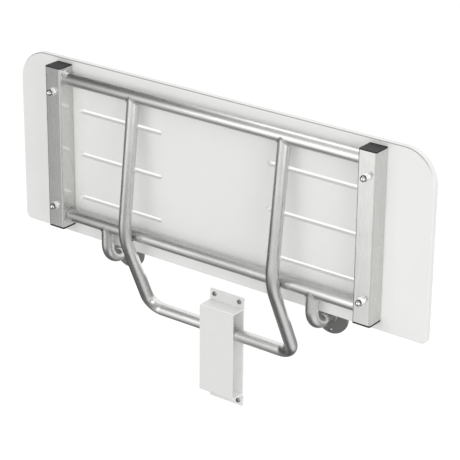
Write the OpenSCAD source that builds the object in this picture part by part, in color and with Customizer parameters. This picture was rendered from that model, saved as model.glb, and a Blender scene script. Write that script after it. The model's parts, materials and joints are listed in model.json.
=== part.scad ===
// Folding wall seat, modelled in its stowed position.
// Frame: X runs along the wall, Y points into the wall, Z points up.
// The wall is the plane Y = 0 and the room lies at negative Y.
// The origin is on the wall, at the centre of the guide bracket.

/* [Seat panel] */
// Width of the panel along the wall
panel_w = 965; // [940:1:1000]
// Depth of the panel, from its front edge to its rear edge
panel_d = 367; // [360:1:390]
// Thickness of the panel
panel_t = 12.7; // [11:0.1:16]
// Radius of the two front corners
front_corner_r = 63.5; // [40:0.5:80]
// Radius of the two rear corners
rear_corner_r = 12; // [6:0.5:20]
// How far the rear edge reaches past the hinge axis
panel_overhang = 47.7; // [44:0.1:49]
// Length of each drain slot
slot_l = 209; // [150:1:220]
// Width of each drain slot
slot_w = 9.5; // [7:0.1:12]
// Distance between neighbouring slots
slot_pitch = 91.4; // [70:0.1:95]
// Distance from the hinge axis to the rear slots
slot_first = 35.3; // [30:0.1:50]
// Distance from mid-width to the inner end of each slot
slot_inner_x = 125.5; // [100:0.5:140]
// Number of slots in each group
slot_rows = 3; // [1:1:3]

/* [Seat frame] */
// Outside size of the square side tubes
side_tube_w = 38.1; // [35:0.1:40]
// Wall thickness of the square side tubes
side_tube_wall = 2; // [1.5:0.1:2.5]
// Outside corner radius of the square side tubes
side_tube_r = 3; // [2.5:0.1:4]
// Length of each side tube without its end caps
side_tube_l = 335; // [332:1:345]
// How far the side tubes reach past the hinge axis
side_tube_overhang = 26.1; // [24:0.1:30]
// Distance between the centres of the two side tubes
side_tube_spacing = 733; // [700:1:760]
// Thickness of the end cap outside the tube
cap_t = 2; // [1.5:0.1:3]
// Length of the end cap's plug inside the tube
cap_plug_l = 6; // [4:0.5:7]

/* [Rails and brace] */
// Outside diameter of every round tube
round_tube_d = 25.4; // [24:0.1:26]
// Wall thickness of every round tube
round_tube_wall = 1.6; // [1.2:0.1:2]
// Distance from the wall to the hinge axis
hinge_standoff = 69.5; // [69:0.1:75]
// Height of the hinge axis above the centre of the guide bracket
hinge_z = 219.6; // [215:0.1:225]
// Distance from the front ends of the side tubes to the front rail
front_rail_inset = 21.5; // [20:0.1:23]
// Distance between the two legs of the brace
brace_leg_spacing = 354; // [340:1:370]
// How far above the hinge axis the legs kink
brace_kink_rise = 6.4; // [3:0.1:9]
// How far the kink stands out from the rails, towards the room
brace_kink_out = 34; // [33:0.1:42]
// Height of the cross bar above the centre of the guide bracket
bar_rise = 47.6; // [47:0.1:49]
// How far the cross bar lies from the rails, towards the wall
brace_bar_in = 47.2; // [46.9:0.1:48]
// Centreline radius of the kink
brace_kink_r = 120; // [60:1:130]
// Centreline radius of the two bottom corners
brace_corner_r = 32; // [26:1:40]

/* [Wall hinge arms] */
// Distance between the two hinge arms
arm_spacing = 494; // [470:1:520]
// How far each arm drops below the hinge axis
arm_drop = 74; // [72:0.5:80]
// Centreline radius of the bend in each arm
arm_bend_r = 35; // [32:1:40]
// Diameter of the round wall flanges
flange_d = 76; // [74:1:84]
// Thickness of the round wall flanges
flange_t = 4.8; // [4:0.1:6]
// Diameter of the circle through the flange screws
flange_pcd = 60; // [56:0.5:61]
// Number of screws in each flange
flange_screw_count = 3; // [3:1:4]

/* [Guide bracket] */
// Width of the guide bracket
guide_w = 82; // [76:1:90]
// Height of the guide's back plate
guide_plate_h = 238; // [232:1:250]
// Thickness of the guide's back plate
guide_plate_t = 3; // [2.5:0.1:3]
// Radius of the back plate's corners
guide_corner_r = 2; // [1:0.5:4]
// Distance from the wall to the front of the channel
channel_depth = 37.3; // [37.1:0.1:40]
// Thickness of the channel's sheet
channel_t = 2; // [1.5:0.1:2]
// Outside bend radius of the channel
channel_bend_r = 4; // [3:0.5:5]
// Top of the channel above the centre of the back plate
channel_top = 95.5; // [94:0.5:98]
// Bottom of the channel below the centre of the back plate
channel_bottom = 92.4; // [90:0.1:94]
// Distance across the plate between its screws
guide_screw_x = 61; // [56:1:64]
// Distance up the plate between its screws
guide_screw_z = 217; // [214:1:220]
// How far the spring leaf bows out from the back plate
spring_bow = 4.6; // [3:0.1:4.8]

/* [Fasteners] */
// Diameter of the wall screws over their threads
wall_screw_d = 6; // [5:0.5:6.5]
// Diameter of the wall screws' necks, which pass through the plates
wall_screw_neck_d = 4.8; // [4:0.1:4.8]
// Diameter of the wall screws' round heads
wall_screw_head_d = 10.4; // [9:0.1:11]
// Height of the wall screws' round heads
wall_screw_head_h = 4; // [3:0.1:4.5]
// How far the wall screws reach into the wall
wall_screw_grip = 12; // [10:1:14]
// Diameter of the studs that hold the panel
stud_d = 8; // [6:0.5:8]
// Width across the flats of the dome nuts
nut_across_flats = 13; // [11:0.5:14]
// Overall height of the dome nuts
nut_h = 15; // [13:0.5:16]
// Distance from the hinge axis to the rear studs
stud_rear = 20.6; // [20.2:0.1:24]
// Distance from the front ends of the side tubes to the front studs
front_stud_inset = 47.7; // [47.5:0.1:58]

/* [Hidden] */
$fn = 64;
overrun = 1;
slip = 0.1;
weld_gap = 0.02;
fit_gap = 0.05;
end_gap = 0.3;
cap_taper_gap = 0.15;
spring_steps = 24;
tube_sides = 40;
kink_steps = 6;
corner_steps = 12;

hinge_y = -hinge_standoff;
round_r = round_tube_d / 2;
side_half = side_tube_w / 2;
side_x = side_tube_spacing / 2;
side_z0 = hinge_z - side_tube_overhang;
side_z1 = side_z0 + side_tube_l;
front_rail_z = side_z1 - front_rail_inset;
rail_end_gap = 1.5;
rail_l = 2 * (side_x + side_half - side_tube_wall - rail_end_gap);

panel_front_y = hinge_y + side_half;
panel_z0 = hinge_z - panel_overhang;
panel_z1 = panel_z0 + panel_d;

bush_wall = 2.3;
bush_lip = 1.7;
bush_flange_t = 1.5;
bush_r = round_r + bush_wall;
bush_flange_r = bush_r + bush_lip;
bush_l = side_tube_w - side_tube_wall;

insert_wall = 2;
insert_skin = 3.2;
stud_play = 0.2;
washer_lip = 2;
washer_t = 1.5;
nut_dome_step = 0.3;
nut_hex_share = 0.45;
nut_bore_share = 0.7;
insert_r = stud_d / 2 + insert_wall;
insert_l = panel_t - insert_skin;
stud_spacing = side_z1 - front_stud_inset - hinge_z - stud_rear;
stud_hole_r = stud_d / 2 + stud_play;
washer_r = nut_across_flats / 2 + washer_lip;
nut_hex_h = nut_h * nut_hex_share;
nut_dome_r = nut_across_flats / 2 - nut_dome_step;
nut_bore_l = nut_h * nut_bore_share;

leg_x = brace_leg_spacing / 2;
bar_y = hinge_y + brace_bar_in;
brace_kink_drop = front_rail_z - hinge_z - brace_kink_rise;
guide_bar_l = guide_w + 2 * end_gap;
stub_x = guide_bar_l / 2 + end_gap;
upper_leg = norm([brace_kink_out, brace_kink_drop]);
lower_rise = hinge_z + brace_kink_rise - bar_rise;
lower_run = brace_bar_in + brace_kink_out;
lower_leg = norm([lower_run, lower_rise]);
upper_dir = atan2(-brace_kink_drop, -brace_kink_out);
lower_dir = atan2(-lower_rise, lower_run);
kink_angle = lower_dir - upper_dir;
kink_tangent = brace_kink_r * tan(kink_angle / 2);

arm_x = arm_spacing / 2;
arm_z = hinge_z - arm_drop;
screw_play = 0.3;
screw_r = wall_screw_d / 2;
screw_neck_r = wall_screw_neck_d / 2;
screw_hole_r = screw_r + screw_play;
screw_head_r = wall_screw_head_d / 2;
screw_dome_r = (pow(screw_head_r, 2) + pow(wall_screw_head_h, 2)) / (2 * wall_screw_head_h);
recess_w = 1.3;
recess_l = wall_screw_d;
recess_depth = 2;

spring_w = 24;
spring_t = 0.8;
spring_drop = 6;
spring_top = channel_top - spring_drop;
spring_flat = 22;
spring_bow_l = 68;
rivet_r = 2;
rivet_head_r = 3.6;
rivet_head_h = 1.2;
rivet_z = spring_top - spring_flat / 2;
rivet_spacing = 12;

// A rectangle with round corners
module rounded_rect(w, h, r) {
    square([w - 2 * r, h], center = true);
    square([w, h - 2 * r], center = true);
    for (x = [-1, 1], y = [-1, 1])
        translate([x * (w / 2 - r), y * (h / 2 - r)])
            circle(r);
}

// A ring as wide as the round tube's section
module tube_ring() {
    difference() {
        circle(round_r);
        circle(round_r - round_tube_wall);
    }
}

// A straight stretch of round tube along X, with what follows placed at its end
module run(length) {
    rotate([90, 0, 90])
        linear_extrude(length)
            tube_ring();
    translate([length, 0, 0])
        children();
}

// A bend of round tube that leaves X and turns towards Y
module bend(radius, angle) {
    translate([0, radius, 0]) {
        rotate([0, 0, -90])
            rotate_extrude(angle = angle)
                translate([radius, 0])
                    tube_ring();
        rotate([0, 0, angle])
            translate([0, -radius, 0])
                children();
    }
}

// The plane across the seat: local X points at the wall and local Y points up
module side_plane(x, y, z, direction) {
    translate([x, y, z])
        rotate([90, 0, 90])
            rotate([0, 0, direction])
                children();
}

// A solid round bar along X, centred on x
module cross_cylinder(x, y, z, r, length) {
    translate([x - length / 2, y, z])
        rotate([0, 90, 0])
            cylinder(r = r, h = length);
}

// A pin that points from the wall to the room
module room_pin(y, r, length) {
    translate([0, y, 0])
        rotate([90, 0, 0])
            cylinder(r = r, h = length);
}

// Both sides of the seat
module both_sides() {
    for (side = [-1, 1])
        mirrored_to(side)
            children();
}

module mirrored_to(side) {
    if (side < 0)
        mirror([1, 0, 0])
            children();
    else
        children();
}

// The four places where the panel is bolted to the side tubes
module stud_places() {
    for (x = [-side_x, side_x], z = [0, stud_spacing])
        translate([x, 0, hinge_z + stud_rear + z])
            children();
}

module panel_outline() {
    front_r = front_corner_r;
    rear_r = rear_corner_r;
    half = panel_w / 2;
    translate([-half, panel_z0 + rear_r])
        square([panel_w, panel_d - rear_r - front_r]);
    translate([-half + rear_r, panel_z0])
        square([panel_w - 2 * rear_r, rear_r]);
    translate([-half + front_r, panel_z1 - front_r])
        square([panel_w - 2 * front_r, front_r]);
    for (side = [-1, 1]) {
        translate([side * (half - rear_r), panel_z0 + rear_r])
            circle(rear_r);
        translate([side * (half - front_r), panel_z1 - front_r])
            circle(front_r);
    }
}

module slot_outline() {
    r = slot_w / 2;
    translate([slot_inner_x + r, -r])
        square([slot_l - slot_w, slot_w]);
    for (x = [slot_inner_x + r, slot_inner_x + slot_l - r])
        translate([x, 0])
            circle(r);
}

module drain_slots() {
    for (side = [0, 1], row = [0 : slot_rows - 1])
        mirror([side, 0])
            translate([0, hinge_z + slot_first + row * slot_pitch])
                slot_outline();
}

module seat_panel() {
    color("whitesmoke")
        difference() {
            translate([0, panel_front_y + panel_t, 0])
                rotate([90, 0, 0])
                    linear_extrude(panel_t)
                        difference() {
                            panel_outline();
                            drain_slots();
                        }
            stud_places()
                room_pin(panel_front_y + insert_l + fit_gap, insert_r + fit_gap, insert_l + overrun);
        }
}

module side_tube(side) {
    inner = side_tube_w - 2 * side_tube_wall;
    inner_r = side_tube_r - side_tube_wall;
    color("silver")
        difference() {
            translate([side * side_x, hinge_y, side_z0])
                linear_extrude(side_tube_l)
                    difference() {
                        rounded_rect(side_tube_w, side_tube_w, side_tube_r);
                        rounded_rect(inner, inner, inner_r);
                    }
            for (z = [hinge_z, front_rail_z])
                cross_cylinder(side * (side_x - side_half), hinge_y, z, bush_r + fit_gap, side_tube_w);
            stud_places()
                room_pin(panel_front_y + overrun, stud_hole_r, side_tube_w + 2 * overrun);
        }
}

module side_tube_left() {
    side_tube(-1);
}

module side_tube_right() {
    side_tube(1);
}

// An end cap whose plug points along +Z
module end_cap() {
    plug_w = side_tube_w - 2 * side_tube_wall - 2 * cap_taper_gap;
    plug_r = side_tube_r - side_tube_wall;
    linear_extrude(cap_t)
        rounded_rect(side_tube_w, side_tube_w, side_tube_r);
    translate([0, 0, cap_t])
        linear_extrude(cap_plug_l)
            rounded_rect(plug_w, plug_w, plug_r);
}

module front_end_caps() {
    color("black")
        for (side = [-1, 1])
            translate([side * side_x, hinge_y, side_z1 + cap_t])
                mirror([0, 0, 1])
                    end_cap();
}

module rear_end_caps() {
    color("black")
        for (side = [-1, 1])
            translate([side * side_x, hinge_y, side_z0 - cap_t])
                end_cap();
}

// A pair of flanged bushings in which one rail turns
module rail_bushings(z) {
    color("silver")
        both_sides()
            difference() {
                union() {
                    translate([side_x - side_half, hinge_y, z])
                        rotate([0, 90, 0])
                            cylinder(r = bush_r, h = bush_l);
                    translate([side_x - side_half - bush_flange_t, hinge_y, z])
                        rotate([0, 90, 0])
                            cylinder(r = bush_flange_r, h = bush_flange_t);
                }
                cross_cylinder(side_x, hinge_y, z, round_r + slip, 2 * side_tube_w);
            }
}

module front_rail_bushings() {
    rail_bushings(front_rail_z);
}

module rear_rail_bushings() {
    rail_bushings(hinge_z);
}

module panel_inserts() {
    color("goldenrod")
        stud_places()
            difference() {
                room_pin(panel_front_y + insert_l, insert_r, insert_l);
                room_pin(panel_front_y + insert_l + overrun, stud_d / 2, insert_l + 2 * overrun);
            }
}

module panel_studs() {
    stud_l = insert_l + side_tube_w + washer_t + nut_bore_l - overrun;
    color("silver")
        stud_places()
            room_pin(panel_front_y + insert_l, stud_d / 2 - fit_gap, stud_l);
}

module stud_washers() {
    color("silver")
        stud_places()
            difference() {
                room_pin(hinge_y - side_half, washer_r, washer_t);
                room_pin(hinge_y - side_half + overrun, stud_hole_r, washer_t + 2 * overrun);
            }
}

// A hexagon nut closed by a dome, along +Z
module dome_nut() {
    corner_r = nut_across_flats / 2 / cos(30);
    dome_h = nut_h - nut_hex_h;
    difference() {
        union() {
            cylinder(r = corner_r, h = nut_hex_h, $fn = 6);
            translate([0, 0, nut_hex_h])
                rotate_extrude()
                    intersection() {
                        translate([0, dome_h - nut_dome_r])
                            circle(nut_dome_r);
                        square([nut_dome_r, dome_h]);
                    }
        }
        translate([0, 0, -overrun])
            cylinder(r = stud_d / 2, h = nut_bore_l + overrun);
    }
}

module dome_nuts() {
    color("gainsboro")
        stud_places()
            translate([0, hinge_y - side_half - washer_t, 0])
                rotate([90, 0, 0])
                    dome_nut();
}

module rail(z) {
    translate([-rail_l / 2, hinge_y, z])
        run(rail_l);
}

module front_rail() {
    color("silver")
        rail(front_rail_z);
}

module rear_rail() {
    color("silver")
        rail(hinge_z);
}

// A direction across the seat, at an angle from the wall's side towards up
function across(angle) = [0, cos(angle), sin(angle)];

// Stations along the brace's centreline, each as a centre, a tangent and a side vector
upper_start = [leg_x, hinge_y, front_rail_z];
kink_start = upper_start + (upper_leg - kink_tangent) * across(upper_dir);
kink_centre = kink_start + brace_kink_r * across(upper_dir + 90);
kink_end = kink_centre - brace_kink_r * across(lower_dir + 90);
corner_start = kink_end + (lower_leg - kink_tangent - brace_corner_r) * across(lower_dir);
stub_end = [stub_x, bar_y, bar_rise];

function kink_station(angle) =
    [kink_centre - brace_kink_r * across(angle + 90), across(angle), across(angle + 90)];

function corner_station(angle) =
    let (down = across(lower_dir), inward = [-1, 0, 0])
    [
        corner_start + brace_corner_r * (sin(angle) * down + (1 - cos(angle)) * inward),
        cos(angle) * down + sin(angle) * inward,
        across(lower_dir + 90),
    ];

// The overhang lengthens both ends, so that a cutting sweep runs right through
function brace_stations(overhang) = [
    [upper_start - overhang * across(upper_dir), across(upper_dir), across(upper_dir + 90)],
    for (i = [0 : kink_steps]) kink_station(upper_dir + i * kink_angle / kink_steps),
    for (i = [0 : corner_steps]) corner_station(i * 90 / corner_steps),
    [stub_end - [overhang, 0, 0], [-1, 0, 0], across(lower_dir + 90)],
];

function ring_points(station, r) =
    [for (i = [0 : tube_sides - 1])
        let (angle = i * 360 / tube_sides)
        station[0] + r * (cos(angle) * cross(station[2], station[1]) + sin(angle) * station[2])];

// A round bar of radius r swept through a list of stations
module swept_bar(stations, r) {
    last = len(stations) - 1;
    polyhedron(
        points = [for (station = stations) each ring_points(station, r)],
        faces = concat(
            [[for (i = [0 : tube_sides - 1]) i]],
            [for (k = [0 : last - 1], i = [0 : tube_sides - 1])
                let (j = (i + 1) % tube_sides)
                [k * tube_sides + j, k * tube_sides + i, (k + 1) * tube_sides + i, (k + 1) * tube_sides + j]],
            [[for (i = [tube_sides - 1 : -1 : 0]) last * tube_sides + i]]
        )
    );
}

// One leg of the brace, its bottom corner and its half of the cross bar
module brace_tube(side) {
    color("silver")
        mirrored_to(side)
            difference() {
                swept_bar(brace_stations(0), round_r);
                swept_bar(brace_stations(overrun), round_r - round_tube_wall);
                cross_cylinder(leg_x, hinge_y, front_rail_z, round_r + weld_gap, 2 * round_tube_d);
            }
}

module brace_tube_left() {
    brace_tube(-1);
}

module brace_tube_right() {
    brace_tube(1);
}

// The middle of the cross bar, which runs up and down in the guide bracket
module guide_bar() {
    color("silver")
        translate([-guide_bar_l / 2, bar_y, bar_rise])
            run(guide_bar_l);
}

module hinge_arm(side) {
    color("silver")
        difference() {
            side_plane(side * arm_x, hinge_y, hinge_z, -90)
                run(arm_drop - arm_bend_r)
                    bend(arm_bend_r, 90)
                        run(hinge_standoff - arm_bend_r - flange_t);
            cross_cylinder(side * arm_x, hinge_y, hinge_z, round_r + weld_gap, 2 * round_tube_d);
        }
}

module hinge_arm_left() {
    hinge_arm(-1);
}

module hinge_arm_right() {
    hinge_arm(1);
}

// A round-headed screw whose head rests on a plate of thickness t
module wall_screw(t) {
    difference() {
        union() {
            room_pin(wall_screw_grip, screw_r, wall_screw_grip);
            room_pin(overrun, screw_neck_r, overrun + t);
            translate([0, -t, 0])
                rotate([90, 0, 0])
                    rotate_extrude()
                        intersection() {
                            translate([0, wall_screw_head_h - screw_dome_r])
                                circle(screw_dome_r);
                            square([screw_head_r, wall_screw_head_h]);
                        }
        }
        for (turn = [0, 90])
            translate([0, -t - wall_screw_head_h, 0])
                rotate([0, turn, 0])
                    cube([recess_l, 2 * recess_depth, recess_w], center = true);
    }
}

module flange_screw_places(side) {
    step = 360 / flange_screw_count;
    for (i = [0 : flange_screw_count - 1])
        translate([side * arm_x, 0, arm_z])
            rotate([0, i * step, 0])
                translate([0, 0, -flange_pcd / 2])
                    children();
}

module wall_flange(side) {
    color("silver")
        difference() {
            translate([side * arm_x, 0, arm_z])
                room_pin(0, flange_d / 2, flange_t);
            flange_screw_places(side)
                room_pin(overrun, screw_hole_r, flange_t + 2 * overrun);
        }
}

module wall_flange_left() {
    wall_flange(-1);
}

module wall_flange_right() {
    wall_flange(1);
}

module flange_screws() {
    color("dimgray")
        for (side = [-1, 1])
            flange_screw_places(side)
                wall_screw(flange_t);
}

module guide_screw_places() {
    for (x = [-0.5, 0.5], z = [-0.5, 0.5])
        translate([x * guide_screw_x, 0, z * guide_screw_z])
            children();
}

module guide_back_plate() {
    color("gainsboro")
        difference() {
            rotate([90, 0, 0])
                linear_extrude(guide_plate_t)
                    rounded_rect(guide_w, guide_plate_h, guide_corner_r);
            guide_screw_places()
                room_pin(overrun, screw_hole_r, guide_plate_t + 2 * overrun);
            for (x = [-0.5, 0.5])
                translate([x * rivet_spacing, 0, rivet_z])
                    room_pin(overrun, rivet_r + fit_gap, guide_plate_t + 2 * overrun);
        }
}

// The channel's section across the seat: local X points at the wall and local Y up
module channel_section() {
    height = channel_top + channel_bottom;
    middle = (channel_top - channel_bottom) / 2;
    inner_r = channel_bend_r - channel_t;
    difference() {
        translate([0, middle])
            rounded_rect(2 * channel_depth, height, channel_bend_r);
        translate([0, middle])
            rounded_rect(2 * (channel_depth - channel_t), height - 2 * channel_t, inner_r);
        translate([-guide_plate_t, middle - height])
            square([2 * channel_depth, 2 * height]);
    }
}

module guide_channel() {
    color("gainsboro")
        translate([-guide_w / 2, 0, 0])
            rotate([90, 0, 90])
                linear_extrude(guide_w)
                    channel_section();
}

module guide_screws() {
    color("dimgray")
        guide_screw_places()
            wall_screw(guide_plate_t);
}

// How far the leaf stands off the back plate at a distance s below its flat end
function leaf_bow(s) = spring_bow * (1 - cos(360 * s / spring_bow_l)) / 2;

module retention_spring() {
    front = -guide_plate_t;
    z_bow = spring_top - spring_flat;
    steps = [for (i = [0 : spring_steps]) i * spring_bow_l / spring_steps];
    back_edge = [for (s = steps) [front - leaf_bow(s), z_bow - s]];
    front_edge = [for (i = [spring_steps : -1 : 0])
        [front - spring_t - leaf_bow(steps[i]), z_bow - steps[i]]];
    color("silver")
        difference() {
            translate([-spring_w / 2, 0, 0])
                rotate([90, 0, 90])
                    linear_extrude(spring_w)
                        polygon(concat([[front, spring_top]], back_edge, front_edge,
                            [[front - spring_t, spring_top]]));
            for (x = [-0.5, 0.5])
                translate([x * rivet_spacing, 0, rivet_z])
                    room_pin(overrun, rivet_r + fit_gap, 4 * guide_plate_t);
        }
}

module spring_rivets() {
    color("silver")
        for (x = [-0.5, 0.5])
            translate([x * rivet_spacing, 0, rivet_z]) {
                room_pin(0, rivet_r, guide_plate_t + spring_t);
                room_pin(-guide_plate_t - spring_t, rivet_head_r, rivet_head_h);
            }
}

seat_panel();
side_tube_left();
side_tube_right();
front_end_caps();
rear_end_caps();
front_rail_bushings();
rear_rail_bushings();
panel_inserts();
panel_studs();
stud_washers();
dome_nuts();
front_rail();
brace_tube_left();
brace_tube_right();
guide_bar();
rear_rail();
hinge_arm_left();
hinge_arm_right();
wall_flange_left();
wall_flange_right();
flange_screws();
guide_back_plate();
guide_channel();
guide_screws();
retention_spring();
spring_rivets();
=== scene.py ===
import json
from math import asin, atan2, cos, pi, radians, sin, tan, tau

import bmesh
import bpy
from mathutils import Matrix, Vector

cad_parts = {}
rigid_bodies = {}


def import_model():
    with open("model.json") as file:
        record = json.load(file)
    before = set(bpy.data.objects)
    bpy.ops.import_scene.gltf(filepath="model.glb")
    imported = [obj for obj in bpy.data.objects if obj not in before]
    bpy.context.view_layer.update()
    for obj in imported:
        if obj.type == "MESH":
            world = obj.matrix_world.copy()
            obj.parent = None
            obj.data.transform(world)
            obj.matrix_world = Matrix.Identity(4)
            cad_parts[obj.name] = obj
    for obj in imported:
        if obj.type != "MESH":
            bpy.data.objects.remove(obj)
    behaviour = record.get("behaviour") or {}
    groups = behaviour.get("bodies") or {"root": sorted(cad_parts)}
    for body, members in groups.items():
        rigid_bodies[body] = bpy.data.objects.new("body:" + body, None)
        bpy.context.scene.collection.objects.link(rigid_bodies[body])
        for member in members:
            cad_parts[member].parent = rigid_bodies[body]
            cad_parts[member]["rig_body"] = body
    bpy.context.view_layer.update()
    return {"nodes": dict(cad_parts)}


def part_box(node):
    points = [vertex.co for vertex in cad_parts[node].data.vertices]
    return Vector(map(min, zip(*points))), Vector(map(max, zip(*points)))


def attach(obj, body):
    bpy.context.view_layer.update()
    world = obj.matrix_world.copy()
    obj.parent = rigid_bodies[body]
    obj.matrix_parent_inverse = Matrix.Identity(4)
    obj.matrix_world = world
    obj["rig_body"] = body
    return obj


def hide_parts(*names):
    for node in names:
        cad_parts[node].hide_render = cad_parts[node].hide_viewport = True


bl_info = {
    "name": "Fold Down Wall Seat",
    "version": (1, 0, 0),
    "blender": (4, 5, 0),
    "location": "View3D > Sidebar > Wall Seat",
    "description": "Finishes a fold down wall seat: slotted panel, tube frame, brace and wall brackets",
    "category": "Object",
}

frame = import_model()
NODES = frame["nodes"]

# Main sizes of the frame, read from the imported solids
PANEL_LOW, PANEL_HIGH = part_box("seat_panel")
SIDE_LOW, SIDE_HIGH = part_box("side_tube_right")
FRONT_LOW, FRONT_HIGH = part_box("front_rail")
BRACE_LOW, BRACE_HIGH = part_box("brace_tube_right")
CHANNEL_LOW, CHANNEL_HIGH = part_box("guide_channel")
WASHERS_LOW, WASHERS_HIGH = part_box("stud_washers")
PLATE_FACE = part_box("guide_back_plate")[0].y
FLANGE_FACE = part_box("wall_flange_right")[0].y

TUBE_R = (FRONT_HIGH.z - FRONT_LOW.z) / 2
FRONT_AXIS, REAR_AXIS, BAR_AXIS, SIDE_CENTRE, FLANGE_CENTRE = (
    sum(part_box(node), Vector()) / 2
    for node in ("front_rail", "rear_rail", "guide_bar", "side_tube_right", "wall_flange_right"))
SIDE_W = SIDE_HIGH.x - SIDE_LOW.x
LEG_X = BRACE_HIGH.x - TUBE_R
WASHER_W = WASHERS_HIGH.x - WASHERS_LOW.x - 2 * SIDE_CENTRE.x

MERGE = 0.000002  # points closer than this are one
SHARP = radians(35)  # faces that meet at more than this keep their edge
INSIDE = 0.004  # how far a tube starts below the axis that it is welded to
OUT_OF_WALL = (pi / 2, 0, 0)  # turns a piece's Z to the room
QUARTER = pi / 2
SIDES = ((-1, "left"), (1, "right"))


# Settings


def length(name, description, default, low, high):
    return bpy.props.FloatProperty(
        name=name, description=description, default=default, min=low, max=high, unit="LENGTH")


def paint(name, description, default):
    return bpy.props.FloatVectorProperty(
        name=name, description=description, default=default, subtype="COLOR", size=3, min=0, max=1)


def number(name, description, default):
    return bpy.props.FloatProperty(name=name, description=description, default=default)


class SeatPanelSettings(bpy.types.PropertyGroup):
    front_radius: length("Front corner radius", "Radius of the panel's two front corners", 0.0635, 0.02, 0.1)
    rear_radius: length("Rear corner radius", "Radius of the panel's two rear corners", 0.012, 0.002, 0.03)
    slot_length: length("Slot length", "Length of each drain slot", 0.209, 0.05, 0.22)
    slot_width: length("Slot width", "Width of each drain slot", 0.0095, 0.004, 0.02)
    slot_pitch: length("Slot pitch", "Distance between neighbouring slots", 0.0914, 0.02, 0.11)
    slot_first: length("Rear slot", "Distance from the hinge axis to the rear slots", 0.0353, 0.02, 0.1)
    slot_inner: length("Slot inner end", "Distance from mid-width to each slot's inner end", 0.1255, 0.02, 0.2)
    slot_rows: bpy.props.IntProperty(
        name="Slot rows", description="Number of slots on each side", default=3, min=1, max=3)
    edge: length("Eased edge", "Radius that eases the panel's edges", 0.0016, 0.0004, 0.003)
    colour: paint("Panel colour", "Colour of the solid panel", (0.80, 0.80, 0.785))
    # The cut edge colour is whiter than the panel: painted light on the ends of the slots
    slot_end_light_colour: paint("Cut edge colour", "Colour of the cut ends of the slots", (0.93, 0.93, 0.92))
    # The arris colour is painted shade along the panel's eased edge
    arris_shade_colour: paint("Arris colour", "Colour of the worn arris along the front edge", (0.34, 0.34, 0.335))


class SeatTubeSettings(bpy.types.PropertyGroup):
    wall: length("Round tube wall", "Wall thickness of the round tubes", 0.0016, 0.001, 0.003)
    square_wall: length("Square tube wall", "Wall thickness of the square side tubes", 0.002, 0.001, 0.003)
    square_radius: length("Square tube corner", "Outside corner radius of the side tubes", 0.003, 0.001, 0.006)
    cap_gap: length("Rear cap gap", "Gap between the side tubes and their rear caps", 0.0014, 0.0, 0.002)
    kink_drop: length("Kink drop", "How far below the front rail the legs kink", 0.281, 0.25, 0.3)
    kink_out: length("Kink stand-off", "How far the kink stands out from the rails", 0.0339, 0.03, 0.05)
    kink_radius: length("Kink radius", "Centreline radius of the kink in each leg", 0.120, 0.05, 0.15)
    corner_radius: length(
        "Foot corner radius", "Centreline radius of the brace's bottom corners", 0.032, 0.026, 0.05)
    arm_radius: length("Arm bend radius", "Centreline radius of the bend in each hinge arm", 0.035, 0.03, 0.05)
    weld: length("Weld size", "Radius of the weld beads", 0.0021, 0.0008, 0.004)
    colour: paint("Steel colour", "Colour of the satin stainless steel", (0.70, 0.70, 0.69))


class SeatHardwareSettings(bpy.types.PropertyGroup):
    nut_flats: length("Nut across flats", "Width across the flats of the dome nuts", 0.013, 0.008, 0.017)
    nut_height: length("Nut height", "Overall height of the dome nuts", 0.015, 0.01, 0.02)
    washer_thickness: length("Washer thickness", "Thickness of the washers", 0.0015, 0.0008, 0.003)
    screw_diameter: length(
        "Wall screw diameter", "Diameter of the wall screws over their threads", 0.006, 0.004, 0.008)
    screw_neck: length("Wall screw neck", "Diameter of the screws' necks, inside the plates", 0.0048, 0.003, 0.006)
    screw_head: length("Wall screw head", "Diameter of the wall screws' heads", 0.0104, 0.008, 0.014)
    screw_head_height: length("Wall screw head height", "Height of the wall screws' heads", 0.004, 0.002, 0.006)
    screw_grip: length("Wall screw grip", "How far the screws reach into the wall", 0.012, 0.006, 0.02)
    screw_circle: length(
        "Flange screw circle", "Diameter of the circle through the flange screws", 0.060, 0.04, 0.07)
    screw_across: length(
        "Bracket screws across", "Distance across the plate between its screws", 0.061, 0.04, 0.07)
    screw_up: length("Bracket screws up", "Distance up the plate between its screws", 0.217, 0.2, 0.23)


class SeatStageSettings(bpy.types.PropertyGroup):
    camera_place: bpy.props.FloatVectorProperty(
        name="Camera place", description="Where the camera stands",
        subtype="TRANSLATION", size=3, default=(2.0567, -2.7550, 1.7295))
    azimuth: number("Azimuth", "How far the camera's aim turns from +Y towards -X, in degrees", 36.692)
    elevation: number("Elevation", "How far the camera looks down, in degrees", 23.249)
    roll: number("Roll", "How far the camera is rolled, in degrees", 0.578)
    focal: bpy.props.FloatProperty(
        name="Focal length", description="Focal length of the lens on a 36 mm sensor, in millimetres",
        default=151.28, min=20, max=300)
    floor_drop: length("Floor drop", "Height of the bracket's centre above the floor", 0.46, 0.2, 0.8)


SETTINGS = {
    "seat_panel_settings": SeatPanelSettings,
    "seat_tube_settings": SeatTubeSettings,
    "seat_hardware_settings": SeatHardwareSettings,
    "seat_stage_settings": SeatStageSettings,
}


# Nodes, each added beside another one, beside a socket or on an empty tree


def feed(node, key, value):
    """Sets an input of a node, or links an output to it."""
    if isinstance(value, bpy.types.NodeSocket):
        node.id_data.links.new(value, node.inputs[key])
    else:
        node.inputs[key].default_value = value


def add_node(beside, kind, inputs=(), **fields):
    """A node with its inputs given as pairs of a key and a value or an output."""
    node = beside.id_data.nodes.new(kind)
    for key, value in fields.items():
        setattr(node, key, value)
    for key, value in inputs:
        feed(node, key, value)
    return node


def noise(place, scale, detail=3.0, roughness=0.5):
    return add_node(place, "ShaderNodeTexNoise", (
        ("Vector", place), ("Scale", scale), ("Detail", detail), ("Roughness", roughness))).outputs["Fac"]


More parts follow.
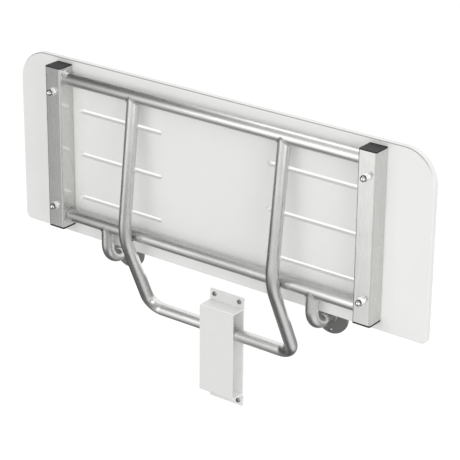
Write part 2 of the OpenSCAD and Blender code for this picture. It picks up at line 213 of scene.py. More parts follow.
def ramp(value, low, high, to_low, to_high, kind="LINEAR"):
    """Runs from one number to another between two ends of a value."""
    return add_node(value, "ShaderNodeMapRange", (
        ("Value", value), ("From Min", low), ("From Max", high), ("To Min", to_low), ("To Max", to_high)),
        interpolation_type=kind).outputs["Result"]


def fade(value, *ends):
    """A ramp with soft ends."""
    return ramp(value, *ends, "SMOOTHSTEP")


def spread(pattern, low=0.0, high=1.0):
    """A noise, which lies mostly between 0.3 and 0.7, spread between two numbers."""
    return ramp(pattern, 0.3, 0.7, low, high)


def stretched(place, scale):
    return add_node(place, "ShaderNodeMapping", (("Vector", place), ("Scale", scale))).outputs["Vector"]


def bump(shader, height, distance, strength):
    node = add_node(height, "ShaderNodeBump", (
        ("Height", height), ("Distance", distance), ("Strength", strength)))
    feed(shader, "Normal", node.outputs["Normal"])


def colour_between(share, first, second):
    """A colour between two others, each plain or an output."""
    first, second = ((*end, 1) if isinstance(end, tuple) else end for end in (first, second))
    return add_node(share, "ShaderNodeMix", (("Factor", share), (6, first), (7, second)),
                    data_type="RGBA").outputs[2]


def tint(shader, share, dark, light):
    """The base colour runs between two colours with a value."""
    feed(shader, "Base Color", colour_between(share, dark, light))


def arithmetic(operation, first, second):
    return add_node(first, "ShaderNodeMath", ((0, first), (1, second)), operation=operation).outputs[0]


def product(first, second):
    return arithmetic("MULTIPLY", first, second)


def blended(share, value, goal):
    """Moves a value towards a goal by a share."""
    return add_node(share, "ShaderNodeMix", ((0, share), (2, value), (3, goal)), data_type="FLOAT").outputs[0]


def attribute(beside, name, output="Fac"):
    return add_node(beside, "ShaderNodeAttribute", attribute_name=name).outputs[output]


def object_place(beside):
    return add_node(beside, "ShaderNodeTexCoord").outputs["Object"]


def axes(vector):
    outputs = add_node(vector, "ShaderNodeSeparateXYZ", ((0, vector),)).outputs
    return outputs["X"], outputs["Y"], outputs["Z"]


# Materials


def shade(colour, share):
    return tuple(channel * share for channel in colour)


def new_material(name, colour, metallic, roughness):
    """A Principled material, with its shader."""
    material = bpy.data.materials.new(name)
    material.use_nodes = True
    shader = material.node_tree.nodes["Principled BSDF"]
    for label, value in (("Base Color", (*colour, 1)), ("Metallic", metallic), ("Roughness", roughness)):
        feed(shader, label, value)
    return material, shader


def satin_panel(shader, colour):
    """Solid white panel with a fine satin texture."""
    place = object_place(shader)
    tint(shader, spread(noise(place, 9.0, 4.0)), shade(colour, 0.975), colour)
    feed(shader, "Roughness", spread(noise(place, 60.0), 0.36, 0.46))
    bump(shader, noise(place, 1400.0, 2.0), 0.00004, 0.35)


def cut_panel(shader, colour):
    """The panel where it is cut, with fine marks across the cut."""
    marks = noise(stretched(object_place(shader), (1, 0.05, 1)), 900.0)
    tint(shader, spread(marks), shade(colour, 0.97), colour)
    bump(shader, marks, 0.00003, 0.5)


def shaded_arris(shader, colour, shade_colour):
    """The eased outer edge, with painted shade: grey along the front, and a little at its back and foot."""
    place = object_place(shader)
    depth, height = axes(place)[1:]
    # Shares of painted shade: along the front edge, at the foot and at the back
    front = fade(height, PANEL_HIGH.z - 0.05, PANEL_HIGH.z - 0.008, 0.0, 1.0)
    foot = fade(height, PANEL_LOW.z + 0.002, PANEL_LOW.z + 0.01, 0.15, 0.0)
    back = fade(depth, PANEL_HIGH.y - 0.004, PANEL_HIGH.y - 0.0016, 0.0, 0.24)
    shaded = product(front, spread(noise(place, 700.0, 2.0), 0.85, 1.0))
    for share in (foot, back):
        shaded = arithmetic("MAXIMUM", shaded, share)
    tint(shader, shaded, colour, shade_colour)


def satin_steel(shader, colour, grain, across=0.0):
    """Satin stainless steel. The last value widens its highlights across the grain of a swept tube."""
    if across:
        run = add_node(shader, "ShaderNodeVectorTransform", ((0, attribute(shader, "run", "Vector")),),
                       vector_type="VECTOR", convert_from="OBJECT", convert_to="WORLD")
        feed(shader, "Tangent", run.outputs[0])
        feed(shader, "Anisotropic", across)
        feed(shader, "Anisotropic Rotation", 0.25)
    place = attribute(shader, "grain", "Vector") if grain == "tube" else object_place(shader)
    lines = noise(stretched(place, (1, 1, 1 if grain == "even" else 0.02)), 1500.0, 3.0, 0.6)
    roughness = shader.inputs["Roughness"].default_value
    tint(shader, spread(noise(place, 24.0)), shade(colour, 0.93), colour)
    feed(shader, "Roughness", spread(lines, roughness - 0.05, roughness + 0.07))
    bump(shader, lines, 0.00002, 0.5)


def rippled_weld(shader, colour):
    """Weld metal: rippled, a little darker than the tube and straw-coloured in patches."""
    place = attribute(shader, "grain", "Vector")
    wave = add_node(shader, "ShaderNodeTexWave", (("Vector", place), ("Scale", 180.0), ("Distortion", 1.5)),
                    bands_direction="Z")
    tint(shader, noise(place, 120.0), (0.40, 0.37, 0.33), colour)
    bump(shader, wave.outputs["Fac"], 0.0003, 0.6)


def powder_coat(shader, colour):
    """Off-white powder coat on the guide bracket, painted whiter inside the channel as painted light where the
    channel lies in shade.
    """
    place = object_place(shader)
    depth, height = axes(place)[1:]
    inside = fade(depth, CHANNEL_LOW.y + 0.001, CHANNEL_LOW.y + 0.003, 0.0, 1.0)
    covered = arithmetic("LESS_THAN", arithmetic("ABSOLUTE", height, 0.0), CHANNEL_HIGH.z)
    # Painted light: the coat is made whiter inside the channel, where it lies in shade
    inside_fill_light = ramp(product(inside, covered), 0.0, 1.0, 0.25, 1.0)
    tint(shader, product(spread(noise(place, 30.0), 0.7, 1.0), inside_fill_light), colour, shade(colour, 1.29))
    bump(shader, noise(place, 900.0, 2.0), 0.00005, 0.4)


def moulded_plastic(shader, colour):
    """Black moulded plastic with a fine spark texture."""
    feed(shader, "Specular IOR Level", 0.22)
    place = object_place(shader)
    spark = noise(place, 2200.0, 2.0)
    tint(shader, noise(place, 90.0), shade(colour, 0.7), shade(colour, 1.6))
    feed(shader, "Roughness", spread(spark, 0.42, 0.6))
    bump(shader, spark, 0.00006, 0.5)


def bright_steel(shader, plating):
    """Domes with a painted reflection, dark at the foot and bright at the tip, on hexagons and washers whose
    bright plating is left matt.
    """
    # Painted reflection: the dome runs from a dark foot to a bright tip
    foot, tip = (0.12, 0.12, 0.12), (0.80, 0.80, 0.79)
    dome, polish = attribute(shader, "dome"), attribute(shader, "polish")
    haze = spread(noise(object_place(shader), 400.0), 0.0, 0.09)
    feed(shader, "Metallic", ramp(dome, 0.0, 1.0, 0.70, 1.0))
    feed(shader, "Roughness", arithmetic("ADD", ramp(dome, 0.0, 1.0, 0.20, 0.05), haze))
    tint(shader, dome, plating, colour_between(ramp(polish, 0.1, 0.8, 0.0, 1.0), foot, tip))


def screw_steel(shader, colour):
    """Darker steel of the wall screws, its tone varied at random by a fine noise."""
    place = object_place(shader)
    tint(shader, noise(place, 350.0), shade(colour, 0.75), shade(colour, 1.15))
    bump(shader, noise(place, 1600.0, 2.0), 0.00003, 0.4)


def turned_brass(shader, colour):
    """Turned brass of the panel's inserts."""
    rings = noise(stretched(object_place(shader), (1, 8, 1)), 500.0)
    tint(shader, rings, shade(colour, 0.85), colour)
    bump(shader, rings, 0.00003, 0.5)


MATERIALS = {}


def material(name):
    """Each material is made once, when the first piece asks for it."""
    if name not in MATERIALS:
        panel_settings = bpy.context.scene.seat_panel_settings
        # The arris colour is painted shade; the cut edge colour is painted light on the slot ends
        panel, cut, shaded = (tuple(colour) for colour in (
            panel_settings.colour, panel_settings.slot_end_light_colour, panel_settings.arris_shade_colour))
        steel = tuple(bpy.context.scene.seat_tube_settings.colour)
        # Name, colour, how metallic and how rough it is, and what gives it its detail
        label, colour, metallic, roughness, dress, *details = {
            "panel": ("White panel", panel, 0, 0.42, satin_panel),
            # The slot ends are painted lighter and the slot walls darker than the panel: painted light and painted
            # shade
            "cut_edge": ("Panel cut edge", cut, 0, 0.5, cut_panel),
            "outer_edge": ("Panel outer edge", shade(panel, 0.99), 0, 0.5, cut_panel),
            "slot_wall": ("Slot wall", shade(panel, 0.84), 0, 0.5, cut_panel),
            "arris": ("Panel arris", panel, 0, 0.4, shaded_arris, shaded),
            "tube": ("Satin steel tube", steel, 1, 0.27, satin_steel, "tube", 0.85),
            # The hinge rail is the tube steel darkened to 0.92: painted shade
            "hinge": ("Satin steel hinge rail", shade(steel, 0.92), 1, 0.27, satin_steel, "tube", 0.85),
            "square": ("Satin steel square tube", steel, 1, 0.24, satin_steel, "tube"),
            "plate": ("Satin steel plate", steel, 1, 0.3, satin_steel, "even"),
            # The flanges are the same steel darkened to 0.37 of its colour
            "flange": ("Turned steel flange", shade(steel, 0.37), 1, 0.38, satin_steel, "even"),
            "leaf": ("Spring steel leaf", shade(steel, 0.85), 1, 0.28, satin_steel, "upright"),
            "weld": ("Weld bead", (0.58, 0.57, 0.56), 1, 0.38, rippled_weld),
            "coat": ("Bracket coat", (0.71, 0.71, 0.697), 0, 0.5, powder_coat),
            "cap": ("Black cap", (0.010, 0.010, 0.011), 0, 0.5, moulded_plastic),
            "bright": ("Polished steel", (0.95, 0.95, 0.94), 1, 0.1, bright_steel),
            "screw": ("Wall screw steel", (0.34, 0.34, 0.335), 1, 0.3, screw_steel),
            "brass": ("Insert brass", (0.72, 0.52, 0.22), 1, 0.3, turned_brass),
        }[name]
        MATERIALS[name], shader = new_material(label, colour, metallic, roughness)
        dress(shader, colour, *details)
    return MATERIALS[name]


# Pieces


def link(name, data):
    piece = bpy.data.objects.new(name, data)
    bpy.context.scene.collection.objects.link(piece)
    return piece


def mesh_from(bm, name):
    """Turns what was built into a mesh, and lets go of the builder."""
    mesh = bpy.data.meshes.new(name)
    bm.to_mesh(mesh)
    bm.free()
    return mesh


def settled(piece, name):
    """A plain mesh object at the origin, with the modifiers of the first one applied."""
    graph = bpy.context.evaluated_depsgraph_get()
    mesh = bpy.data.meshes.new_from_object(piece.evaluated_get(graph), depsgraph=graph)
    if not mesh.polygons:
        raise RuntimeError(f"{name} came out empty")
    mesh.transform(piece.matrix_world)
    bpy.data.objects.remove(piece)
    mesh.name = name
    return link(name, mesh)


def smooth(piece):
    piece.data.polygons.foreach_set("use_smooth", [True] * len(piece.data.polygons))
    piece.data.set_sharp_from_angle(angle=SHARP)
    return piece


def true_flats(piece):
    """Shades the large flat faces flat, so that only the eased edges between them are round."""
    smooth(piece)
    weighted = piece.modifiers.new("True flats", "WEIGHTED_NORMAL")
    weighted.keep_sharp = True
    return settled(piece, piece.name)


def hand_over(piece, body, slot, *nodes):
    """The piece rides on its body and stands for its solids, which are hidden. Its slot is not used."""
    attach(piece, body)
    if nodes:
        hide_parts(*nodes)


def angles(start, end, steps):
    """Angles from one to another in equal steps, with both ends."""
    return [start + (end - start) * i / steps for i in range(steps + 1)]


def round_angles(steps):
    """Angles once round a circle, each once."""
    return [tau * i / steps for i in range(steps)]


def line_curve(name, points, cyclic=False):
    data = bpy.data.curves.new(name, "CURVE")
    data.dimensions = "3D"
    spline = data.splines.new("POLY")
    spline.points.add(len(points) - 1)
    for slot, place in zip(spline.points, points):
        slot.co = (*place, 1)
    spline.use_cyclic_u = cyclic
    return link(name, data)


def arc(centre, start, end, radius, steps):
    """Points of an arc in the plane of y and z, from one angle to another."""
    return [centre + radius * Vector((0, cos(a), sin(a))) for a in angles(start, end, steps)]


# Geometry Nodes trees


def new_tree(name, *inputs):
    """The inputs of an empty tree: a geometry, and those that are named."""
    tree = bpy.data.node_groups.new(name, "GeometryNodeTree")
    for label, kind in (("Geometry", "Geometry"), *inputs):
        tree.interface.new_socket(label, in_out="INPUT", socket_type=f"NodeSocket{kind}")
    tree.interface.new_socket("Geometry", in_out="OUTPUT", socket_type="NodeSocketGeometry")
    return add_node(tree, "NodeGroupInput").outputs


def finish_tree(given, geometry):
    """Ends a tree with its instances made real and its material set."""
    real = add_node(geometry, "GeometryNodeRealizeInstances", ((0, geometry),))
    dressed = add_node(geometry, "GeometryNodeSetMaterial", (
        ("Geometry", real.outputs[0]), ("Material", given["Material"])))
    add_node(geometry, "NodeGroupOutput", ((0, dressed.outputs[0]),))
    return geometry.id_data


def captured(geometry, kind, label, value):
    """Keeps a value at each point. Gives the geometry and the kept value."""
    node = add_node(geometry, "GeometryNodeCaptureAttribute", domain="POINT")
    node.capture_items.new(kind, label)
    feed(node, "Geometry", geometry)
    feed(node, 1, value)
    return node.outputs["Geometry"], node.outputs[1]


def sweep(given):
    """Sweeps the profile along the path, and keeps the grain and the run of each place on it."""
    path = given["Geometry"]
    distance = add_node(path, "GeometryNodeSplineParameter").outputs["Length"]
    path, along = captured(path, "FLOAT", "Length", distance)
    path, run = captured(path, "VECTOR", "Run", add_node(path, "GeometryNodeInputTangent").outputs[0])
    outline = add_node(path, "GeometryNodeObjectInfo", (("Object", given["Profile"]),)).outputs["Geometry"]
    outline, place = captured(outline, "VECTOR", "Place", add_node(path, "GeometryNodeInputPosition").outputs[0])
    x, y = axes(place)[:2]
    grain = add_node(path, "ShaderNodeCombineXYZ", (("X", x), ("Y", y), ("Z", along))).outputs[0]
    mesh = add_node(path, "GeometryNodeCurveToMesh", (
        ("Curve", path), ("Profile Curve", outline))).outputs["Mesh"]
    for label, value in (("grain", grain), ("run", run)):
        mesh = add_node(mesh, "GeometryNodeStoreNamedAttribute", (
            ("Geometry", mesh), ("Name", label), ("Value", value)),
            data_type="FLOAT_VECTOR", domain="POINT").outputs["Geometry"]
    return mesh


def tube_tree():
    """Sweeps a profile along a path, and gives the tube its wall and its open ends."""
    given = new_tree("Tube along path", ("Profile", "Object"), ("Wall", "Float"), ("Material", "Material"))
    outer = sweep(given)
    inner = add_node(outer, "GeometryNodeExtrudeMesh", (
        ("Mesh", outer), ("Offset Scale", product(given["Wall"], -1.0)), ("Individual", False)), mode="FACES")
    turned = add_node(outer, "GeometryNodeFlipFaces", (("Mesh", inner.outputs["Mesh"]),))
    whole = add_node(outer, "GeometryNodeJoinGeometry", ((0, outer), (0, turned.outputs["Mesh"])))
    closed = add_node(outer, "GeometryNodeMergeByDistance", (
        ("Geometry", whole.outputs[0]), ("Distance", MERGE / 2)))
    return finish_tree(given, closed.outputs[0])


def bead_tree():
    """Sweeps a solid profile round a closed path."""
    given = new_tree("Bead round path", ("Profile", "Object"), ("Material", "Material"))
    return finish_tree(given, sweep(given))


def repeat_tree():
    """Puts one piece at every point of a mesh, turned by the point's own angles."""
    given = new_tree("Piece at each place", ("Piece", "Object"), ("Material", "Material"))
    places = given["Geometry"]
    piece = add_node(places, "GeometryNodeObjectInfo", (("Object", given["Piece"]), ("As Instance", True)))
    turn = add_node(places, "GeometryNodeInputNamedAttribute", (("Name", "turn"),), data_type="FLOAT_VECTOR")
    rotation = add_node(places, "FunctionNodeEulerToRotation", ((0, turn.outputs["Attribute"]),))
    points = add_node(places, "GeometryNodeMeshToPoints", (("Mesh", places),))
    copies = add_node(places, "GeometryNodeInstanceOnPoints", (
        ("Points", points.outputs[0]), ("Instance", piece.outputs["Geometry"]),
        ("Rotation", rotation.outputs[0])))
    return finish_tree(given, copies.outputs[0])


TREES = {}


def grown(piece, name, maker, values):
    """Runs one of the trees on an object, with its inputs set, and gives the finished mesh."""
    if maker not in TREES:
        TREES[maker] = maker()
    tree = TREES[maker]
    modifier = piece.modifiers.new(tree.name, "NODES")
    modifier.node_group = tree
    for item in tree.interface.items_tree:
        if item.item_type == "SOCKET" and item.in_out == "INPUT" and item.name in values:
            modifier[item.identifier] = values[item.name]
    return settled(piece, name)


def round_profile(radius, sides=56):
    points = [Vector((radius * cos(a), radius * sin(a), 0)) for a in round_angles(sides)]
    return line_curve("Round profile", points, cyclic=True)


def rounded_rectangle(half, radii, inset, steps):
    """A rectangle about the origin, with a radius for its upper and its lower corners, drawn in by an inset."""
    wide, high = half
    upper, lower = radii
    corners = ((1, 1, upper), (-1, 1, upper), (-1, -1, lower), (1, -1, lower))
    return [(x * (wide - radius) + (radius - inset) * cos(a), y * (high - radius) + (radius - inset) * sin(a))
            for quarter, (x, y, radius) in enumerate(corners)
            for a in angles(QUARTER * quarter, QUARTER * (quarter + 1), steps)]


def square_profile(width, radius):
    points = rounded_rectangle((width / 2, width / 2), (radius, radius), 0, 7)
    return line_curve("Square profile", [(x, y, 0) for x, y in points], cyclic=True)


def swept(name, path, profile, maker, cyclic=False, **values):
    """A path's sweep as a finished mesh that faces out."""
    piece = grown(line_curve(name + " path", path, cyclic), name, maker, {"Profile": profile, **values})
    bpy.data.objects.remove(profile)
    bm = bmesh.new()
    bm.from_mesh(piece.data)
    bmesh.ops.recalc_face_normals(bm, faces=bm.faces)
    bm.to_mesh(piece.data)
    bm.free()
    return piece


def swept_tube(name, path, wall, body, node, finish="tube", profile=None):
    """A steel tube in place of one solid, round unless it has a profile of its own."""
    tube = swept(name, path, profile or round_profile(TUBE_R), tube_tree, Wall=wall, Material=material(finish))
    hand_over(true_flats(tube), body, "satin_steel", node)


def weld_bead(name, path, radius, body):
    bead = swept(name, path, round_profile(radius, 12), bead_tree, True, Material=material("weld"))
    hand_over(smooth(bead), body, "satin_steel")


def repeated(name, piece, places, finish, body, slot, node):
    """One object in place of a row of solids: a copy of the piece at each place, facing the room."""
    mesh = bpy.data.meshes.new(name + " places")
    mesh.from_pydata(places, [], [])
    turns = mesh.attributes.new("turn", "FLOAT_VECTOR", "POINT")
    turns.data.foreach_set("vector", OUT_OF_WALL * len(places))
    copies = grown(link(name + " places", mesh), name, repeat_tree,
                   {"Piece": piece, "Material": material(finish)})
    bpy.data.objects.remove(piece)
    hand_over(smooth(copies), body, slot, node)


def closed_pairs(ring):
    """Each point of a ring with the next, and the last with the first."""
    return zip(ring, ring[1:] + ring[:1])


def lathe(name, profile, sides=48):
    """A turned piece about Z from a closed profile of radius and height."""
    bm = bmesh.new()
    verts = [bm.verts.new((r, 0, z)) for r, z in profile]
    edges = [bm.edges.new(pair) for pair in closed_pairs(verts)]
    bmesh.ops.spin(bm, geom=verts + edges, cent=(0, 0, 0), axis=(0, 0, 1), angle=tau,
                   steps=sides, use_merge=True)
    bmesh.ops.remove_doubles(bm, verts=bm.verts, dist=MERGE)
    bmesh.ops.recalc_face_normals(bm, faces=bm.faces)
    return link(name, mesh_from(bm, name))


def eased_copy(node, name, finish, body, slot, width, segments=3):
    """A copy in place of a solid, with its flat faces made whole and its edges eased."""
    flat, sharp = radians(0.4), radians(50)
    bm = bmesh.new()
    bm.from_mesh(NODES[node].data)
    bmesh.ops.remove_doubles(bm, verts=bm.verts, dist=MERGE)
    bmesh.ops.dissolve_limit(bm, angle_limit=flat, verts=bm.verts, edges=bm.edges)
    for face in bm.faces:
        face.material_index = 0
    mesh = mesh_from(bm, name)
    mesh.materials.append(material(finish))
    piece = link(name, mesh)
    bevel = piece.modifiers.new("Eased edges", "BEVEL")
    bevel.width, bevel.segments = width, segments
    bevel.limit_method, bevel.angle_limit = "ANGLE", sharp
    bevel.use_clamp_overlap = True
    hand_over(true_flats(settled(piece, name)), body, slot, node)


# Panel


PANEL_FINISHES = ("panel", "arris", "cut_edge", "slot_wall", "outer_edge")
END_OF_SLOT = 0.4  # a slot's wall that faces along the seat more than this is one of its ends


def panel_outline(radii, inset):
    """The panel's outline of x and z, drawn in by an inset."""
    middle, half = (PANEL_HIGH + PANEL_LOW) / 2, (PANEL_HIGH - PANEL_LOW) / 2
    return [(middle.x + x, middle.z + z) for x, z in rounded_rectangle((half.x, half.z), radii, inset, 14)]


def slot_outline(x0, x1, z, radius, inset, steps=10):
    """A slot's outline of x and z, let out by an inset."""
    wide = radius + inset
    return [(x + wide * cos(a), z + wide * sin(a))
            for x, start in ((x1 - radius, -QUARTER), (x0 + radius, QUARTER))
            for a in angles(start, start + pi, steps)]


def eased_wall(bm, outline, ease, arris, cut, steps=3):
    """The wall round one outline, with both of its edges eased. Gives its first and last rings."""
    near, far = PANEL_LOW.y, PANEL_HIGH.y
    depths = [(ease * (1 - sin(a)), near + ease * (1 - cos(a))) for a in angles(0, QUARTER, steps)]
    depths += [(inset, far - (y - near)) for inset, y in reversed(depths)]
    rings = [[bm.verts.new((x, y, z)) for x, z in outline(inset)] for inset, y in depths]
    for k, (first, second) in enumerate(zip(rings, rings[1:])):
        for (a, b), (d, c) in zip(closed_pairs(first), closed_pairs(second)):
            bm.faces.new((a, b, c, d)).material_index = PANEL_FINISHES.index(cut if k == steps else arris)
    return rings[0], rings[-1]


class SEAT_OT_panel(bpy.types.Operator):
    """Make the slotted seat panel with its eased edges"""

    bl_idname = "seat.panel"
    bl_label = "Seat Panel"

    def execute(self, context):
        values = context.scene.seat_panel_settings
        radii = (values.front_radius, values.rear_radius)
        bm = bmesh.new()
        rings = [eased_wall(bm, lambda inset: panel_outline(radii, inset), values.edge, "arris", "outer_edge")]
        for row in range(values.slot_rows):
            z = REAR_AXIS.z + values.slot_first + row * values.slot_pitch
            for side, _ in SIDES:
                ends = sorted((side * values.slot_inner, side * (values.slot_inner + values.slot_length)))
                rings.append(eased_wall(bm, lambda inset: slot_outline(*ends, z, values.slot_width / 2, inset),
                                        values.edge, "panel", "slot_wall"))
        for end in (0, 1):
            edges = [bm.edges.get(pair) for ring in rings for pair in closed_pairs(ring[end])]
            bmesh.ops.triangle_fill(bm, edges=edges, use_beauty=True, normal=(0, 1, 0))
        bmesh.ops.recalc_face_normals(bm, faces=bm.faces)
        # The ends of the slots take the lighter colour of painted light
        for face in bm.faces:
            if PANEL_FINISHES[face.material_index] == "slot_wall" and abs(face.normal.x) > END_OF_SLOT:
                face.material_index = PANEL_FINISHES.index("cut_edge")
        mesh = mesh_from(bm, "Slotted panel")
        for finish in PANEL_FINISHES:
            mesh.materials.append(material(finish))
        hand_over(true_flats(link("slotted_panel", mesh)), "seat", "white_panel", "seat_panel")
        return {"FINISHED"}


# Tubes


class SEAT_OT_side_tubes(bpy.types.Operator):
    """Make the two square side tubes and their end caps"""

    bl_idname = "seat.side_tubes"
    bl_label = "Side Tubes"

    def execute(self, context):
        values = context.scene.seat_tube_settings
        for side, label in SIDES:
            path = [Vector((side * SIDE_CENTRE.x, SIDE_CENTRE.y, z))
                    for z in (SIDE_LOW.z + values.cap_gap, SIDE_HIGH.z)]
            profile = square_profile(SIDE_W, values.square_radius)
            swept_tube(f"square_tube_{label}", path, values.square_wall, "seat", f"side_tube_{label}",
                       "square", profile)
        for end in ("front", "rear"):
            eased_copy(f"{end}_end_caps", f"{end}_caps_moulded", "cap", "seat", "black_cap", 0.0002, 2)
        return {"FINISHED"}


class SEAT_OT_rails(bpy.types.Operator):
    """Make the two rails, the cross bar's middle and the rails' bushings"""

    bl_idname = "seat.rails"
    bl_label = "Rails and Guide Bar"

    def execute(self, context):
        wall = context.scene.seat_tube_settings.wall
        for node, axis, finish in (("front_rail", FRONT_AXIS, "tube"), ("rear_rail", REAR_AXIS, "hinge"),
                                   ("guide_bar", BAR_AXIS, "tube")):
            path = [Vector((end.x, axis.y, axis.z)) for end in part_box(node)]
            swept_tube(node + "_tube", path, wall, NODES[node]["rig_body"], node, finish)
        for node in ("front_rail_bushings", "rear_rail_bushings"):
            eased_copy(node, node + "_turned", "plate", "seat", "satin_steel", 0.0004)
        return {"FINISHED"}


def brace_path(values, side):
    """The brace's centreline, from inside the front rail to the end of its stub."""
    top = Vector((LEG_X, FRONT_AXIS.y, FRONT_AXIS.z))
    kink = top + Vector((0, -values.kink_out, -values.kink_drop))
    foot = Vector((LEG_X, BAR_AXIS.y, BAR_AXIS.z))
    upper, lower = (kink - top).normalized(), (foot - kink).normalized()
    upper_angle, lower_angle = (atan2(d.z, d.y) for d in (upper, lower))
    start = kink - values.kink_radius * tan((lower_angle - upper_angle) / 2) * upper
    centre = start + values.kink_radius * Vector((0, -upper.z, upper.y))
    points = [top + INSIDE * upper]
    points += arc(centre, upper_angle - QUARTER, lower_angle - QUARTER, values.kink_radius, 14)
    corner = foot - values.corner_radius * lower
    inward = Vector((-1, 0, 0))
    points += [corner + values.corner_radius * (sin(a) * lower + (1 - cos(a)) * inward)
               for a in angles(0, QUARTER, 24)]
    points.append(Vector((BRACE_LOW.x, BAR_AXIS.y, BAR_AXIS.z)))
    return [Vector((side * p.x, p.y, p.z)) for p in points], upper


def saddle(centre, down, steps=96):
    """The line where a tube that points down meets an equal tube along X."""
    sideways = Vector((0, -down.z, down.y))
    return [centre + TUBE_R * (down * abs(cos(a)) + Vector((cos(a), 0, 0)) + sin(a) * sideways)
            for a in round_angles(steps)]


class SEAT_OT_brace(bpy.types.Operator):
    """Make the two halves of the brace, with the welds under the front rail"""

    bl_idname = "seat.brace"
    bl_label = "Brace"

    def execute(self, context):
        values = context.scene.seat_tube_settings
        for side, label in SIDES:
            path, upper = brace_path(values, side)
            swept_tube(f"brace_{label}_tube", path, values.wall, "brace", f"brace_tube_{label}")
            top = Vector((side * LEG_X, FRONT_AXIS.y, FRONT_AXIS.z))
            weld_bead(f"brace_{label}_weld", saddle(top, upper), values.weld, "brace")
        return {"FINISHED"}


class SEAT_OT_hinge_arms(bpy.types.Operator):
    """Make the hinge arms, their round wall flanges and their welds"""

    bl_idname = "seat.hinge_arms"
    bl_label = "Hinge Arms"

    def execute(self, context):
        values = context.scene.seat_tube_settings
        radius = values.arm_radius
        down = Vector((0, 0, -1))
        for side, label in SIDES:
            x = side * FLANGE_CENTRE.x
            top = Vector((x, REAR_AXIS.y, REAR_AXIS.z))
            foot = Vector((x, FLANGE_FACE, FLANGE_CENTRE.z))
            centre = Vector((x, REAR_AXIS.y + radius, FLANGE_CENTRE.z + radius))
            path = [top + INSIDE * down] + arc(centre, pi, 3 * QUARTER, radius, 24) + [foot]
            swept_tube(f"arm_{label}_tube", path, values.wall, "wall_frame", f"hinge_arm_{label}")
            weld_bead(f"arm_{label}_rail_weld", saddle(top, down), values.weld, "wall_frame")
            ring = [foot + TUBE_R * Vector((cos(a), 0, sin(a))) for a in round_angles(72)]
            weld_bead(f"arm_{label}_flange_weld", ring, values.weld, "wall_frame")
            eased_copy(f"wall_flange_{label}", f"round_flange_{label}", "flange",
                       "wall_frame", "satin_steel", 0.0006)
        return {"FINISHED"}


class SEAT_OT_guide_bracket(bpy.types.Operator):
    """Make the guide bracket's plate, channel, leaf spring and rivets"""

    bl_idname = "seat.guide_bracket"
    bl_label = "Guide Bracket"

    def execute(self, context):
        for node, name, finish, slot, ease in (
                ("guide_back_plate", "bracket_plate", "coat", "bracket_coat", 0.0005),
                ("guide_channel", "bracket_channel", "coat", "bracket_coat", 0.0004),
                ("retention_spring", "leaf_spring", "leaf", "spring_steel", 0.0001),
                ("spring_rivets", "leaf_rivets", "bright", "spring_steel", 0.0003)):
            eased_copy(node, name, finish, "wall_frame", slot, ease)
        return {"FINISHED"}


# Fasteners


def washer_ring(values):
    """A flat washer with its outer edges eased, along Z."""
    rim, thickness = WASHER_W / 2, values.washer_thickness
    bore, under, over = 0.0042, 0.0002, 0.0004
    return lathe("Washer", [(bore, 0.0), (rim - under, 0.0), (rim, under), (rim, thickness - over),
                            (rim - over, thickness), (bore, thickness)])


def dome_nut(values):
    """A hexagon nut with a domed end, along Z."""
    flats, height = values.nut_flats / 2, values.nut_height
    corner = flats / cos(pi / 6)
    hexagon, dome, ease = height * 0.45, flats - 0.0003, 0.0005
    whole = bmesh.new()
    bmesh.ops.create_cone(whole, cap_ends=True, segments=6, radius1=corner, radius2=corner, depth=hexagon,
                          matrix=Matrix.Translation((0, 0, hexagon / 2)) @ Matrix.Rotation(QUARTER, 4, "Z"))
    bmesh.ops.bevel(whole, geom=list(whole.edges), offset=ease, segments=2, profile=0.6, affect="EDGES")
    flats_end = len(whole.verts)
    profile = [(0.0, hexagon - ease), (dome, hexagon - ease), (dome, height - dome)]
    profile += [(dome * cos(a), height - dome + dome * sin(a)) for a in angles(0, QUARTER, 14)[1:]]
    nut = lathe("Nut dome", profile)
    whole.from_mesh(nut.data)
    low = hexagon + (height - hexagon) * 0.35
    dome_share = [float(i >= flats_end) for i in range(len(whole.verts))]
    # Share of the painted reflection, from the dome's lower part up to its tip
    polish = [min(max((vert.co.z - low) / (height - low), 0.0), 1.0) for vert in whole.verts]
    whole.to_mesh(nut.data)
    whole.free()
    for label, numbers in (("dome", dome_share), ("polish", polish)):
        nut.data.attributes.new(label, "FLOAT", "POINT").data.foreach_set("value", numbers)
    return nut


def wall_screw(values, plate):
    """A round-headed screw with a cross recess, along Z, its head resting on the plate."""
    head, height, thread = values.screw_head / 2, values.screw_head_height, values.screw_diameter / 2
    neck, tip = values.screw_neck / 2, -values.screw_grip - plate
    point, lead, ease = 0.0006, 0.0008, 0.0002
    recess = (0.006, 0.0013, 0.004, 1)
    sphere = (head ** 2 + height ** 2) / (2 * height)
    rim = asin(head / sphere) if sphere > height else QUARTER
    profile = [(0.0, tip), (thread - point, tip), (thread, tip + lead), (thread, -plate),
               (neck, -plate), (neck, 0.0), (head - ease, 0.0)]
    profile += [(sphere * sin(a), height - sphere + sphere * cos(a)) for a in angles(rim, 0, 10)]
    screw = lathe("Screw", profile, 40)
    bm = bmesh.new()
    for turn in (0, QUARTER):
        bmesh.ops.create_cube(bm, size=1, matrix=Matrix.Translation((0, 0, height))
                              @ Matrix.Rotation(turn, 4, "Z") @ Matrix.Diagonal(recess))
    cutter = link("Cross recess", mesh_from(bm, "Cross recess"))
    cut = screw.modifiers.new("Cross recess", "BOOLEAN")
    cut.object, cut.operation = cutter, "DIFFERENCE"
    cut.solver, cut.use_self = "EXACT", True
    screw = settled(screw, "Screw")
    bpy.data.objects.remove(cutter)
    return screw


